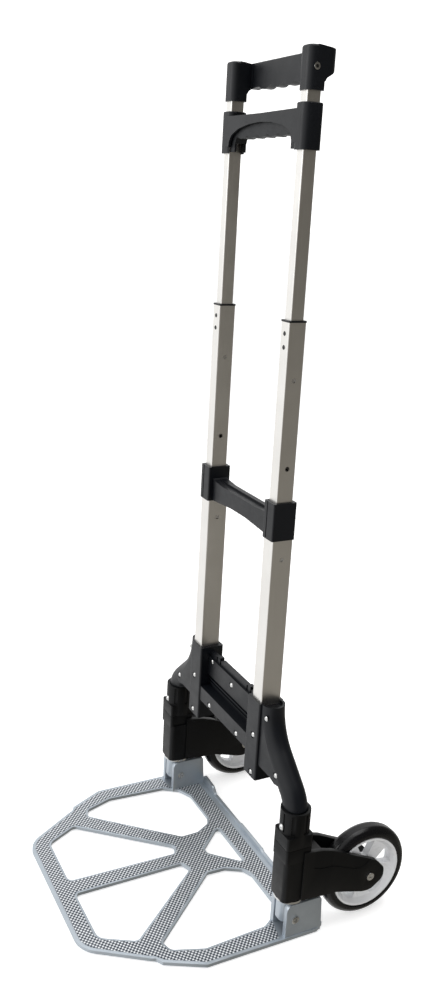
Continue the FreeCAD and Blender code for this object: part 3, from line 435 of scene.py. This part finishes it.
# raised tread on top of the nose plate
side_cut = [(144, -163, 6), (160, -158, 10), (175, -116, 5), (170, -27, 8), (155, -4, 10), (134, 6.5, 6), (73, 6.5, 6), (58, 0, 8), (45, -23, 6), (44, -50, 5)]
front_cut = [(129, -191, 8), (104, -236, 15), (20, -236.5, 5), (14, -233, 4), (12, -76, 6), (28, -70, 6)]
back_cut = [(45, 11, 4), (5.5, -31, 6), (-5.5, -31, 6), (-45, 11, 4)]
rim_ = [(160, 33.5, 1), (160, -1, 1), (168, -14, 1), (196.2, -20, 4), (196.2, -125, 3), (171, -173.5, 4), (161.5, -181, 3), (158.5, -187, 3), (110.2, -259.3, 34)]
tread_loops = [rim_ + [((-p[0],) + tuple(p[1:])) for p in reversed(rim_)]]
for lp in (side_cut, front_cut):
    grown = [(x, y, r + 3.0) for x, y, r in offset(lp, 3.0)]
    tread_loops += [grown, flip(grown)]
tread_loops.append([(x, y, r + 3.0) for x, y, r in offset(back_cut, 3.0)])
tread = flat_piece("plate_tread", tread_loops, 0.00702, 0.0003, 0.0001, tread_mat)
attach(tread, "plate")

# painted shade: a dark disc laid at the floor of the hexagon sockets in the handle screws, standing in for the shade
# inside them
def lathe_x(name, x0, x1, y, z, r, sides, mat, inner=0.0, turn=0.0):
    """A small ring or disc standing on the X axis between x0 and x1 (metres), bevelled outer rim."""
    sg = 1 if x1 > x0 else -1
    bev = min(abs(x1 - x0) * 0.3, r * 0.2)
    prof = [(x0, inner), (x0, r), (x1 - sg * bev, r), (x1, r - bev), (x1, inner)]
    verts, faces = [], []
    for (xx, rr) in prof:
        for k in range(sides):
            a_ = turn + 2 * math.pi * k / sides
            verts.append((xx, y + rr * math.cos(a_), z + rr * math.sin(a_)))
    n_ = len(prof)
    for i in range(n_ if inner else n_ - 1):
        for k in range(sides):
            a0, a1 = i * sides + k, i * sides + (k + 1) % sides
            b0, b1 = ((i + 1) % n_) * sides + k, ((i + 1) % n_) * sides + (k + 1) % sides
            faces.append((a0, a1, b1, b0) if sg > 0 else (a0, b0, b1, a1))
    if not inner:
        faces = [f for f in faces]
    o = add_mesh(name, verts, faces)
    o.data.materials.append(mat)
    return o


# the two return springs over the release grip; the real ones close up as it is squeezed, these coils stay fixed
def coil(name, x, y, z0, z1, r, wire, turns, mat):
    n_, ring = int(28 * turns), 10
    verts, faces = [], []
    for i in range(n_ + 1):
        t = i / n_
        a_ = 2 * math.pi * turns * t
        zz = z0 + wire + (z1 - z0 - 2 * wire) * t
        for k in range(ring):
            b_ = 2 * math.pi * k / ring
            rr = r + wire * math.cos(b_)
            verts.append((x + rr * math.cos(a_), y + rr * math.sin(a_), zz + wire * math.sin(b_)))
    for i in range(n_):
        for k in range(ring):
            k1 = (k + 1) % ring
            faces.append((i * ring + k, (i + 1) * ring + k, (i + 1) * ring + k1, i * ring + k1))
    faces.append(tuple(range(ring)))
    faces.append(tuple(n_ * ring + k for k in reversed(range(ring))))
    o = add_mesh(name, verts, faces)
    for p in o.data.polygons:
        p.use_smooth = True
    o.data.materials.append(mat)
    return o


for side, sg in (("right", 1), ("left", -1)):
    o = coil("return_spring_" + side, sg * 0.052, LY - 0.0016, 1.0153, 1.0206, 0.0032, 0.00045, 2.0, spring_steel)
    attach(o, "upper_stage")
    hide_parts("grip_springs")
    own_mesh(o)

# painted shade: dark steel discs at the bottom of the screw sockets
for side, sg in (("right", 1), ("left", -1)):
    o = lathe_x("socket_shade_disc_" + side, sg * 0.10206, sg * 0.10240, 0.0396, 1.069, 0.0021, 6, dark_steel_and_shade)
    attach(o, "upper_stage")


# ------------------------------------------------------------------ floor and light
floor = add_mesh("floor", [(-60, -60, 0), (60, -60, 0), (60, 60, 0), (-60, 60, 0)], [(0, 1, 2, 3)])
fq = Mat("floor_white")
fn = fq.noise(fq.obj(), 0.7, 2.0)
fq.to(fq.mix(fn, (0.93, 0.93, 0.93), (0.95, 0.95, 0.95)), "Base Color")
fq.set(Roughness=0.9, Emission_Strength=0.52)
fq.b.inputs["Emission Color"].default_value = (1, 1, 1, 1)
fq.b.inputs["Specular IOR Level"].default_value = 0.0
floor.data.materials.append(fq.mat)
floor.visible_glossy = False
floor.visible_diffuse = False

# white backdrop beyond the floor: only looked at, it lights nothing
rows, cols, rad = 10, 32, 45.0
bv = [(rad * math.cos(a) * math.cos(t), rad * math.cos(a) * math.sin(t), rad * math.sin(a) - 0.5)
      for a in [i * math.pi / 2 / (rows + 0.3) for i in range(rows + 1)] for t in [2 * math.pi * k / cols for k in range(cols)]]
bf = [(i * cols + k, i * cols + (k + 1) % cols, (i + 1) * cols + (k + 1) % cols, (i + 1) * cols + k) for i in range(rows) for k in range(cols)]
bf.append(tuple(rows * cols + k for k in range(cols)))
backdrop = add_mesh("backdrop", bv, bf)
bq = Mat("backdrop_white")
bq.to(bq.mix(bq.noise(bq.obj(), 0.05, 2.0), (0.95, 0.95, 0.95), (1, 1, 1)), "Base Color")
bq.set(Roughness=1.0, Emission_Strength=1.0)
bq.b.inputs["Emission Color"].default_value = (1, 1, 1, 1)
bq.b.inputs["Specular IOR Level"].default_value = 0.0
backdrop.data.materials.append(bq.mat)
for flag in ("visible_glossy", "visible_diffuse", "visible_shadow", "visible_transmission", "visible_volume_scatter"):
    setattr(backdrop, flag, False)

# studio walls: bright at the front and the far side, dim at the near side
world = bpy.data.worlds.new("studio")
bpy.context.scene.world = world
world.use_nodes = True
wt = world.node_tree
bg = wt.nodes["Background"]
tc = wt.nodes.new("ShaderNodeTexCoord")
dot = wt.nodes.new("ShaderNodeVectorMath")
dot.operation = "DOT_PRODUCT"
dot.inputs[1].default_value = (-0.8, -0.6, 0.0)
wt.links.new(tc.outputs["Generated"], dot.inputs[0])
rng = wt.nodes.new("ShaderNodeMapRange")
for key, v in (("From Min", -1.0), ("From Max", 1.0), ("To Min", 0.0), ("To Max", 1.0)):
    rng.inputs[key].default_value = v
wt.links.new(dot.outputs["Value"], rng.inputs[0])
rp = wt.nodes.new("ShaderNodeValToRGB")
wt.links.new(rng.outputs[0], rp.inputs[0])
el = rp.color_ramp.elements
el[0].position, el[0].color = 0.28, (0.150, 0.140, 0.120, 1)
el[1].position, el[1].color = 0.62, (1.05, 1.05, 1.05, 1)
sepw = wt.nodes.new("ShaderNodeSeparateXYZ")
wt.links.new(tc.outputs["Generated"], sepw.inputs[0])
low = wt.nodes.new("ShaderNodeMapRange")
for key, v in (("From Min", -0.44), ("From Max", 0.10), ("To Min", 1.85), ("To Max", 0.66)):
    low.inputs[key].default_value = v
wt.links.new(sepw.outputs[2], low.inputs[0])
shade = wt.nodes.new("ShaderNodeMix")
shade.data_type = "RGBA"
shade.blend_type = "MULTIPLY"
shade.inputs[0].default_value = 1.0
shade.inputs[6].default_value = (0.150, 0.141, 0.124, 1)
wt.links.new(low.outputs[0], shade.inputs[7])
wall = wt.nodes.new("ShaderNodeMix")
wall.data_type = "RGBA"
wall.inputs[7].default_value = (1.05, 1.05, 1.05, 1)
el[0].color, el[1].color = (0, 0, 0, 1), (1, 1, 1, 1)
wt.links.new(rp.outputs[0], wall.inputs[0])
wt.links.new(shade.outputs[2], wall.inputs[6])
wt.links.new(wall.outputs[2], bg.inputs[0])
bg.inputs[1].default_value = 1.0


def area(name, loc, target, size, size_y, power, color=(1, 1, 1)):
    d = bpy.data.lights.new(name, "AREA")
    d.shape = "RECTANGLE"
    d.size, d.size_y = size, size_y
    d.energy = power
    d.color = color
    o = bpy.data.objects.new(name, d)
    bpy.context.collection.objects.link(o)
    o.location = loc
    o.rotation_euler = (Vector(target) - Vector(loc)).to_track_quat("-Z", "Y").to_euler()
    return o


area("key", (-1.0, -2.4, 1.9), (0, 0, 0.5), 1.6, 2.2, 26)
area("top", (0.2, 0.4, 2.8), (0, 0, 0.4), 1.8, 1.8, 22)
# matt fill for the pale parts on the near side
side_fill = area("side_fill", (2.4, 0.2, 0.9), (0.2, 0.15, 0.2), 1.6, 1.2, 22)
side_fill.data.specular_factor = 0.0
side_fill.visible_glossy = False

bpy.context.scene.view_settings.view_transform = "Standard"
